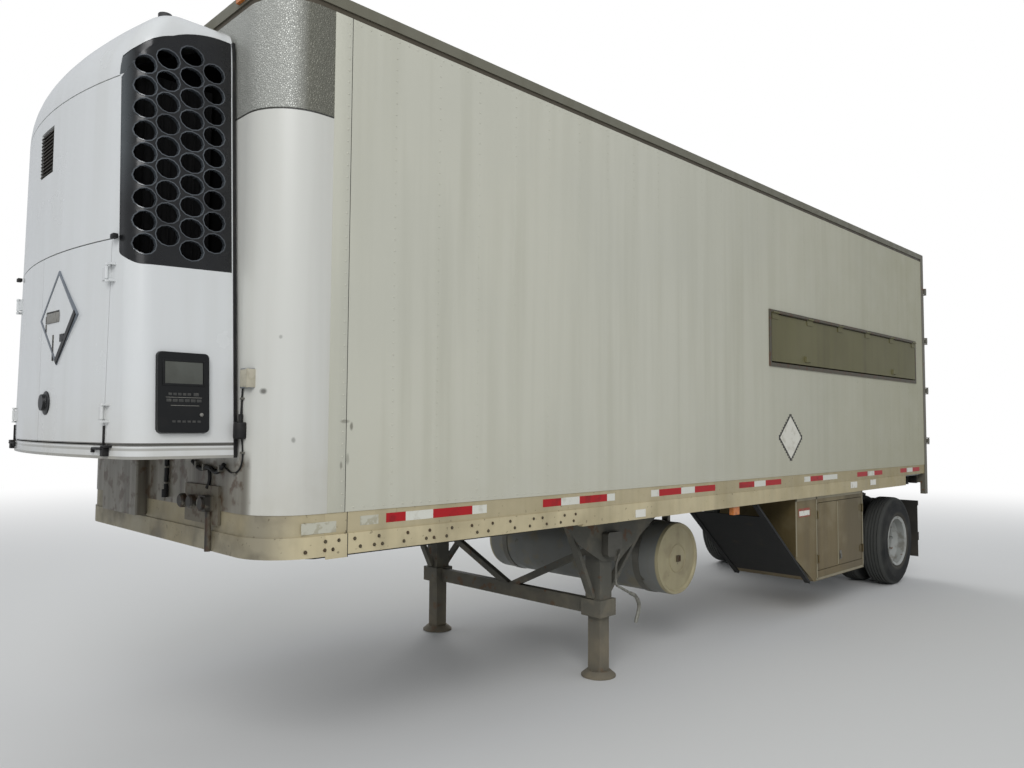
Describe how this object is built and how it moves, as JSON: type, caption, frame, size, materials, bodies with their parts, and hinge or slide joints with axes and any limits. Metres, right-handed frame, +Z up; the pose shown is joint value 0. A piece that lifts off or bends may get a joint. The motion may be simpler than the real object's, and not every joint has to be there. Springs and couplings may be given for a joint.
{
  "type": "refrigerated van semi trailer",
  "caption": "Short box semi trailer on its landing gear, with a nose-mounted refrigeration unit, side hatch, belly box, rear doors and twin wheels on one axle.",
  "frame": {"origin": "centre of the trailer's box on the ground, under the middle of its length and width", "axes": "+Y to the rear doors, +X to the roadside with the hatch, +Z up"},
  "size_m": [2.647, 9.857, 4.19],
  "materials": {
    "deck_aluminium": "brushed",
    "roof_sheet": "satin",
    "side_panel": "satin",
    "rail_aluminium": "weathered",
    "top_rail": "weathered",
    "frame_steel": "satin",
    "door_panel": "satin",
    "zinc_steel": "galvanised",
    "hatch_metal": "weathered",
    "chassis_steel": "matte",
    "leg_steel": "matte",
    "tyre_rubber": "matte",
    "rim_steel": "satin",
    "hub_iron": "rough",
    "flap_rubber": "matte",
    "box_aluminium": "brushed",
    "tank_aluminium": "weathered",
    "unit_panel": "gloss",
    "grille_plastic": "matte",
    "engine_iron": "rough",
    "evaporator_plastic": "matte",
    "amber_lens": "gloss",
    "red_lens": "gloss"
  },
  "bodies": {
    "trailer": {"floor": "deck_aluminium", "roof": "roof_sheet", "left_wall": "side_panel", "right_wall": "side_panel", "front_wall": "side_panel", "left_bottom_rail": "rail_aluminium", "right_bottom_rail": "rail_aluminium", "front_bottom_rail": "rail_aluminium", "left_top_rail": "top_rail", "right_top_rail": "top_rail", "front_top_rail": "top_rail", "rear_frame": "frame_steel", "hatch_frame": "hatch_metal", "cross_members": "chassis_steel", "upper_coupler": "chassis_steel", "left_leg_tube": "leg_steel", "right_leg_tube": "leg_steel", "left_leg_foot": "leg_steel", "right_leg_foot": "leg_steel", "leg_wings": "leg_steel", "leg_beam": "leg_steel", "crank": "leg_steel", "suspension_frame": "chassis_steel", "leaf_springs": "chassis_steel", "axle": "chassis_steel", "brake_chambers": "chassis_steel", "rear_rubber": "flap_rubber", "underride_guard": "chassis_steel", "belly_box": "box_aluminium", "belly_guard": "leg_steel", "fuel_tank": "tank_aluminium", "tank_straps": "zinc_steel", "unit_cap": "unit_panel", "unit_front_panel": "unit_panel", "unit_housing": "unit_panel", "unit_left_grille": "grille_plastic", "unit_right_grille": "grille_plastic", "control_panel": "grille_plastic", "unit_block": "engine_iron", "evaporator": "evaporator_plastic", "gladhand_plate": "zinc_steel", "front_cabinet": "side_panel", "amber_lamps": "amber_lens", "red_lamps": "red_lens"},
    "left_rear_door": {"left_rear_door": "door_panel", "left_door_gear": "zinc_steel"},
    "right_rear_door": {"right_rear_door": "door_panel", "right_door_gear": "zinc_steel"},
    "hatch": {"hatch": "hatch_metal"},
    "left_wheels": {"left_tyres": "tyre_rubber", "left_rims": "rim_steel", "left_hub": "hub_iron"},
    "right_wheels": {"right_tyres": "tyre_rubber", "right_rims": "rim_steel", "right_hub": "hub_iron"},
    "belly_front_door": {"belly_front_door": "box_aluminium"},
    "belly_rear_door": {"belly_rear_door": "box_aluminium"},
    "unit_left_door": {"unit_left_door": "unit_panel"},
    "unit_right_door": {"unit_right_door": "unit_panel"}
  },
  "joints": [
    {"name": "left_rear_door_hinge", "type": "hinge", "parent": "trailer", "child": "left_rear_door", "pos_m": [1.3095, 4.8945, 2.68], "axis": [0, 0, -1], "range_deg": [0, 255]},
    {"name": "right_rear_door_hinge", "type": "hinge", "parent": "trailer", "child": "right_rear_door", "pos_m": [-1.3095, 4.8945, 2.68], "axis": [0, 0, 1], "range_deg": [0, 255]},
    {"name": "hatch_hinge", "type": "hinge", "parent": "trailer", "child": "hatch", "pos_m": [1.3145, 2.6245, 2.945], "axis": [0, -1, 0], "range_deg": [0, 180]},
    {"name": "left_wheels_spin", "type": "hinge", "parent": "trailer", "child": "left_wheels", "pos_m": [0.908, 4.0595, 0.52], "axis": [1, 0, 0], "continuous": true},
    {"name": "right_wheels_spin", "type": "hinge", "parent": "trailer", "child": "right_wheels", "pos_m": [-0.908, 4.0595, 0.52], "axis": [1, 0, 0], "continuous": true},
    {"name": "belly_front_door_hinge", "type": "hinge", "parent": "trailer", "child": "belly_front_door", "pos_m": [1.262, 1.7695, 0.78], "axis": [0, 0, -1], "range_deg": [0, 110]},
    {"name": "belly_rear_door_hinge", "type": "hinge", "parent": "trailer", "child": "belly_rear_door", "pos_m": [1.262, 2.8695, 0.78], "axis": [0, 0, 1], "range_deg": [0, 110]},
    {"name": "unit_left_door_hinge", "type": "hinge", "parent": "trailer", "child": "unit_left_door", "pos_m": [0.79, -4.8451, 2.26], "axis": [0, 0, 1], "range_deg": [0, 110]},
    {"name": "unit_right_door_hinge", "type": "hinge", "parent": "trailer", "child": "unit_right_door", "pos_m": [-0.79, -4.8451, 2.26], "axis": [0, 0, -1], "range_deg": [0, 110]}
  ]
}
